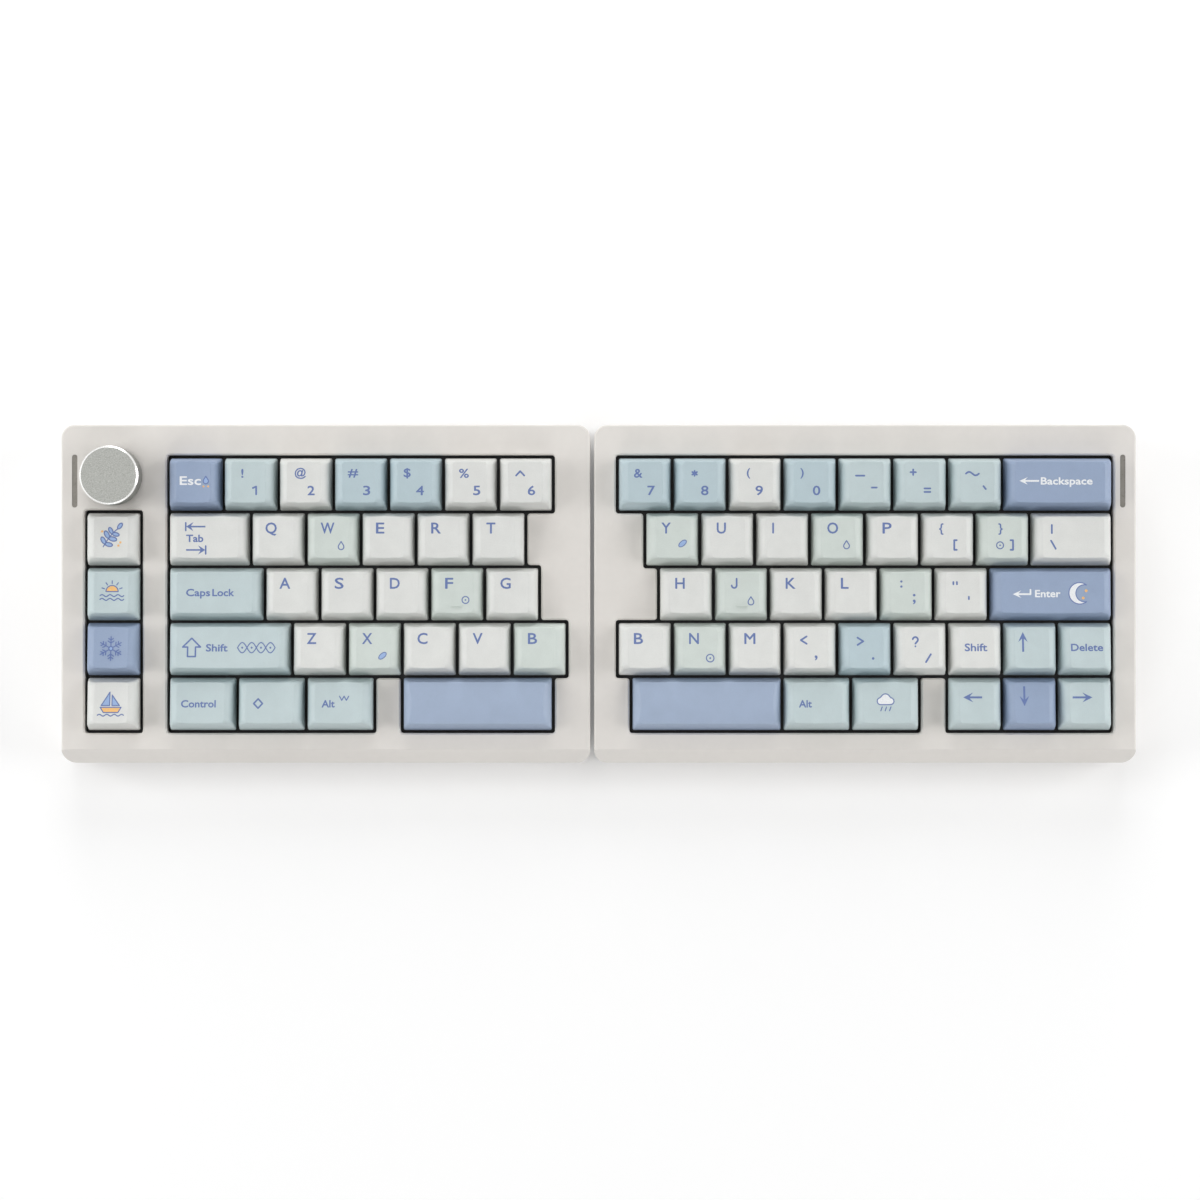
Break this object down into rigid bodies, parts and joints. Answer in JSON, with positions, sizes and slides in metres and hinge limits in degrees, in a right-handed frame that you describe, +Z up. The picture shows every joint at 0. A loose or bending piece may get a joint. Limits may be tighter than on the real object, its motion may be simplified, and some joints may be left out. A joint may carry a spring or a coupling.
{
  "type": "split keyboard",
  "caption": "Split mechanical keyboard whose halves stand side by side, with sculpted keycaps, a side column of keys, a volume knob, light bars and fold-out feet",
  "frame": {"origin": "Bottom centre of the keyboard's box: the plane its rubber pads stand on, midway across and front to back", "axes": "+X to the user's right along both halves, +Y to the rear, +Z up; the key deck leans 6.5 degrees, higher at the rear"},
  "size_m": [0.3726, 0.1196, 0.0438],
  "materials": {
    "case_white": "warm white, fine moulded grain",
    "keycap_white": "matte, fine grain",
    "keycap_teal": "matte pale teal, fine grain",
    "keycap_blue": "matte grey blue, fine grain",
    "knob_aluminium": "bead blasted, anodised, with a cut chamfer",
    "light_diffuser": "milky grey diffuser, unlit",
    "housing_plastic": "moulded",
    "plate_metal": "anodised dark grey",
    "board_green": "dark solder mask",
    "gasket_rubber": "soft foam rubber",
    "pad_rubber": "grey rubber",
    "screw_steel": "plain steel",
    "spring_steel": "plain steel wire",
    "encoder_metal": "satin",
    "battery_film": "silver film"
  },
  "bodies": {
    "left_half": {"left_top_case": "case_white", "left_bottom_case": "case_white", "left_case_screws": "screw_steel", "left_foot_pads": "pad_rubber", "left_gaskets": "gasket_rubber", "left_switch_plate": "plate_metal", "left_circuit_board": "board_green", "left_switch_housings": "housing_plastic", "left_switch_springs": "spring_steel", "left_stabilizer_guides": "housing_plastic", "left_light_bar": "light_diffuser", "left_battery": "battery_film", "left_usb_board": "board_green", "encoder_body": "encoder_metal"},
    "right_half": {"right_top_case": "case_white", "right_bottom_case": "case_white", "right_case_screws": "screw_steel", "right_foot_pads": "pad_rubber", "right_gaskets": "gasket_rubber", "right_switch_plate": "plate_metal", "right_circuit_board": "board_green", "right_switch_housings": "housing_plastic", "right_switch_springs": "spring_steel", "right_stabilizer_guides": "housing_plastic", "right_light_bar": "light_diffuser", "right_battery": "battery_film", "right_usb_board": "board_green"},
    "knob_push": {"encoder_plunger": "housing_plastic"},
    "knob": {"volume_knob": "knob_aluminium", "encoder_shaft": "encoder_metal"},
    "escape_key": {"escape_key": "keycap_blue"},
    "left_number_keys": {"left_number_keys": "keycap_white"},
    "tab_key": {"tab_key": "keycap_white"},
    "left_upper_keys": {"left_upper_keys": "keycap_white"},
    "caps_lock_key": {"caps_lock_key": "keycap_teal"},
    "left_home_keys": {"left_home_keys": "keycap_white"},
    "left_shift_key": {"left_shift_key": "keycap_teal"},
    "left_lower_keys": {"left_lower_keys": "keycap_white"},
    "left_modifier_keys": {"left_modifier_keys": "keycap_teal"},
    "left_space_bar": {"left_space_bar": "keycap_blue"},
    "macro_keys": {"macro_keys": "keycap_white"},
    "right_number_keys": {"right_number_keys": "keycap_teal"},
    "backspace_key": {"backspace_key": "keycap_blue"},
    "right_upper_keys": {"right_upper_keys": "keycap_white"},
    "backslash_key": {"backslash_key": "keycap_white"},
    "right_home_keys": {"right_home_keys": "keycap_white"},
    "enter_key": {"enter_key": "keycap_blue"},
    "right_lower_keys": {"right_lower_keys": "keycap_white"},
    "right_space_bar": {"right_space_bar": "keycap_blue"},
    "right_modifier_keys": {"right_modifier_keys": "keycap_teal"},
    "arrow_keys": {"arrow_keys": "keycap_teal"},
    "left_shift_wire": {"left_shift_wire": "spring_steel"},
    "left_space_wire": {"left_space_wire": "spring_steel"},
    "backspace_wire": {"backspace_wire": "spring_steel"},
    "enter_wire": {"enter_wire": "spring_steel"},
    "right_space_wire": {"right_space_wire": "spring_steel"},
    "left_outer_foot": {"left_outer_foot": "case_white"},
    "left_inner_foot": {"left_inner_foot": "case_white"},
    "right_inner_foot": {"right_inner_foot": "case_white"},
    "right_outer_foot": {"right_outer_foot": "case_white"}
  },
  "joints": [
    {"name": "halves_apart", "type": "slide", "parent": "left_half", "child": "right_half", "axis": [1, 0, 0], "range_m": [0, 0.2]},
    {"name": "knob_press", "type": "slide", "parent": "left_half", "child": "knob_push", "axis": [0, -0.1132, 0.9936], "range_m": [-0.0005, 0], "stiffness_N_per_m": 1500, "springref_m": 0.001},
    {"name": "knob_turn", "type": "hinge", "parent": "knob_push", "child": "knob", "pos_m": [-0.16817, 0.03833, 0.03225], "axis": [0, -0.1132, 0.9936], "continuous": true},
    {"name": "escape_key_press", "type": "slide", "parent": "left_half", "child": "escape_key", "axis": [0, -0.1132, 0.9936], "range_m": [-0.004, 0], "stiffness_N_per_m": 62, "springref_m": 0.0055},
    {"name": "left_number_keys_press", "type": "slide", "parent": "left_half", "child": "left_number_keys", "axis": [0, -0.1132, 0.9936], "range_m": [-0.004, 0], "stiffness_N_per_m": 372, "springref_m": 0.0055},
    {"name": "tab_key_press", "type": "slide", "parent": "left_half", "child": "tab_key", "axis": [0, -0.1132, 0.9936], "range_m": [-0.004, 0], "stiffness_N_per_m": 62, "springref_m": 0.0055},
    {"name": "left_upper_keys_press", "type": "slide", "parent": "left_half", "child": "left_upper_keys", "axis": [0, -0.1132, 0.9936], "range_m": [-0.004, 0], "stiffness_N_per_m": 310, "springref_m": 0.0055},
    {"name": "caps_lock_key_press", "type": "slide", "parent": "left_half", "child": "caps_lock_key", "axis": [0, -0.1132, 0.9936], "range_m": [-0.004, 0], "stiffness_N_per_m": 62, "springref_m": 0.0055},
    {"name": "left_home_keys_press", "type": "slide", "parent": "left_half", "child": "left_home_keys", "axis": [0, -0.1132, 0.9936], "range_m": [-0.004, 0], "stiffness_N_per_m": 310, "springref_m": 0.0055},
    {"name": "left_shift_key_press", "type": "slide", "parent": "left_half", "child": "left_shift_key", "axis": [0, -0.1132, 0.9936], "range_m": [-0.004, 0], "stiffness_N_per_m": 62, "springref_m": 0.0055},
    {"name": "left_lower_keys_press", "type": "slide", "parent": "left_half", "child": "left_lower_keys", "axis": [0, -0.1132, 0.9936], "range_m": [-0.004, 0], "stiffness_N_per_m": 310, "springref_m": 0.0055},
    {"name": "left_modifier_keys_press", "type": "slide", "parent": "left_half", "child": "left_modifier_keys", "axis": [0, -0.1132, 0.9936], "range_m": [-0.004, 0], "stiffness_N_per_m": 186, "springref_m": 0.0055},
    {"name": "left_space_bar_press", "type": "slide", "parent": "left_half", "child": "left_space_bar", "axis": [0, -0.1132, 0.9936], "range_m": [-0.004, 0], "stiffness_N_per_m": 62, "springref_m": 0.0055},
    {"name": "macro_keys_press", "type": "slide", "parent": "left_half", "child": "macro_keys", "axis": [0, -0.1132, 0.9936], "range_m": [-0.004, 0], "stiffness_N_per_m": 248, "springref_m": 0.0055},
    {"name": "right_number_keys_press", "type": "slide", "parent": "right_half", "child": "right_number_keys", "axis": [0, -0.1132, 0.9936], "range_m": [-0.004, 0], "stiffness_N_per_m": 434, "springref_m": 0.0055},
    {"name": "backspace_key_press", "type": "slide", "parent": "right_half", "child": "backspace_key", "axis": [0, -0.1132, 0.9936], "range_m": [-0.004, 0], "stiffness_N_per_m": 62, "springref_m": 0.0055},
    {"name": "right_upper_keys_press", "type": "slide", "parent": "right_half", "child": "right_upper_keys", "axis": [0, -0.1132, 0.9936], "range_m": [-0.004, 0], "stiffness_N_per_m": 434, "springref_m": 0.0055},
    {"name": "backslash_key_press", "type": "slide", "parent": "right_half", "child": "backslash_key", "axis": [0, -0.1132, 0.9936], "range_m": [-0.004, 0], "stiffness_N_per_m": 62, "springref_m": 0.0055},
    {"name": "right_home_keys_press", "type": "slide", "parent": "right_half", "child": "right_home_keys", "axis": [0, -0.1132, 0.9936], "range_m": [-0.004, 0], "stiffness_N_per_m": 372, "springref_m": 0.0055},
    {"name": "enter_key_press", "type": "slide", "parent": "right_half", "child": "enter_key", "axis": [0, -0.1132, 0.9936], "range_m": [-0.004, 0], "stiffness_N_per_m": 62, "springref_m": 0.0055},
    {"name": "right_lower_keys_press", "type": "slide", "parent": "right_half", "child": "right_lower_keys", "axis": [0, -0.1132, 0.9936], "range_m": [-0.004, 0], "stiffness_N_per_m": 496, "springref_m": 0.0055},
    {"name": "right_space_bar_press", "type": "slide", "parent": "right_half", "child": "right_space_bar", "axis": [0, -0.1132, 0.9936], "range_m": [-0.004, 0], "stiffness_N_per_m": 62, "springref_m": 0.0055},
    {"name": "right_modifier_keys_press", "type": "slide", "parent": "right_half", "child": "right_modifier_keys", "axis": [0, -0.1132, 0.9936], "range_m": [-0.004, 0], "stiffness_N_per_m": 124, "springref_m": 0.0055},
    {"name": "arrow_keys_press", "type": "slide", "parent": "right_half", "child": "arrow_keys", "axis": [0, -0.1132, 0.9936], "range_m": [-0.004, 0], "stiffness_N_per_m": 248, "springref_m": 0.0055},
    {"name": "left_shift_wire_swing", "type": "hinge", "parent": "left_half", "child": "left_shift_wire", "pos_m": [-0.12769, -0.02805, 0.01241], "axis": [1, 0, 0], "range_deg": [-27.5, 0]},
    {"name": "left_space_wire_swing", "type": "hinge", "parent": "left_half", "child": "left_space_wire", "pos_m": [-0.04196, -0.04698, 0.01026], "axis": [1, 0, 0], "range_deg": [-27.5, 0]},
    {"name": "backspace_wire_swing", "type": "hinge", "parent": "right_half", "child": "backspace_wire", "pos_m": [0.15889, 0.02873, 0.01888], "axis": [1, 0, 0], "range_deg": [-27.5, 0]},
    {"name": "enter_wire_swing", "type": "hinge", "parent": "right_half", "child": "enter_wire", "pos_m": [0.15651, -0.00912, 0.01457], "axis": [1, 0, 0], "range_deg": [-27.5, 0]},
    {"name": "right_space_wire_swing", "type": "hinge", "parent": "right_half", "child": "right_space_wire", "pos_m": [0.03745, -0.04698, 0.01026], "axis": [1, 0, 0], "range_deg": [-27.5, 0]},
    {"name": "left_outer_foot_fold", "type": "hinge", "parent": "left_half", "child": "left_outer_foot", "pos_m": [-0.15429, 0.04167, 0.003], "axis": [1, 0, 0], "range_deg": [0, 100]},
    {"name": "left_inner_foot_fold", "type": "hinge", "parent": "left_half", "child": "left_inner_foot", "pos_m": [-0.03491, 0.04167, 0.003], "axis": [1, 0, 0], "range_deg": [0, 100]},
    {"name": "right_inner_foot_fold", "type": "hinge", "parent": "right_half", "child": "right_inner_foot", "pos_m": [0.03039, 0.04167, 0.003], "axis": [1, 0, 0], "range_deg": [0, 100]},
    {"name": "right_outer_foot_fold", "type": "hinge", "parent": "right_half", "child": "right_outer_foot", "pos_m": [0.15429, 0.04167, 0.003], "axis": [1, 0, 0], "range_deg": [0, 100]}
  ],
  "couplings": [
    {"joint": "left_shift_wire_swing", "follows": "left_shift_key_press", "rad_per_m": 118.76},
    {"joint": "left_space_wire_swing", "follows": "left_space_bar_press", "rad_per_m": 118.76},
    {"joint": "backspace_wire_swing", "follows": "backspace_key_press", "rad_per_m": 118.76},
    {"joint": "enter_wire_swing", "follows": "enter_key_press", "rad_per_m": 118.76},
    {"joint": "right_space_wire_swing", "follows": "right_space_bar_press", "rad_per_m": 118.76}
  ]
}
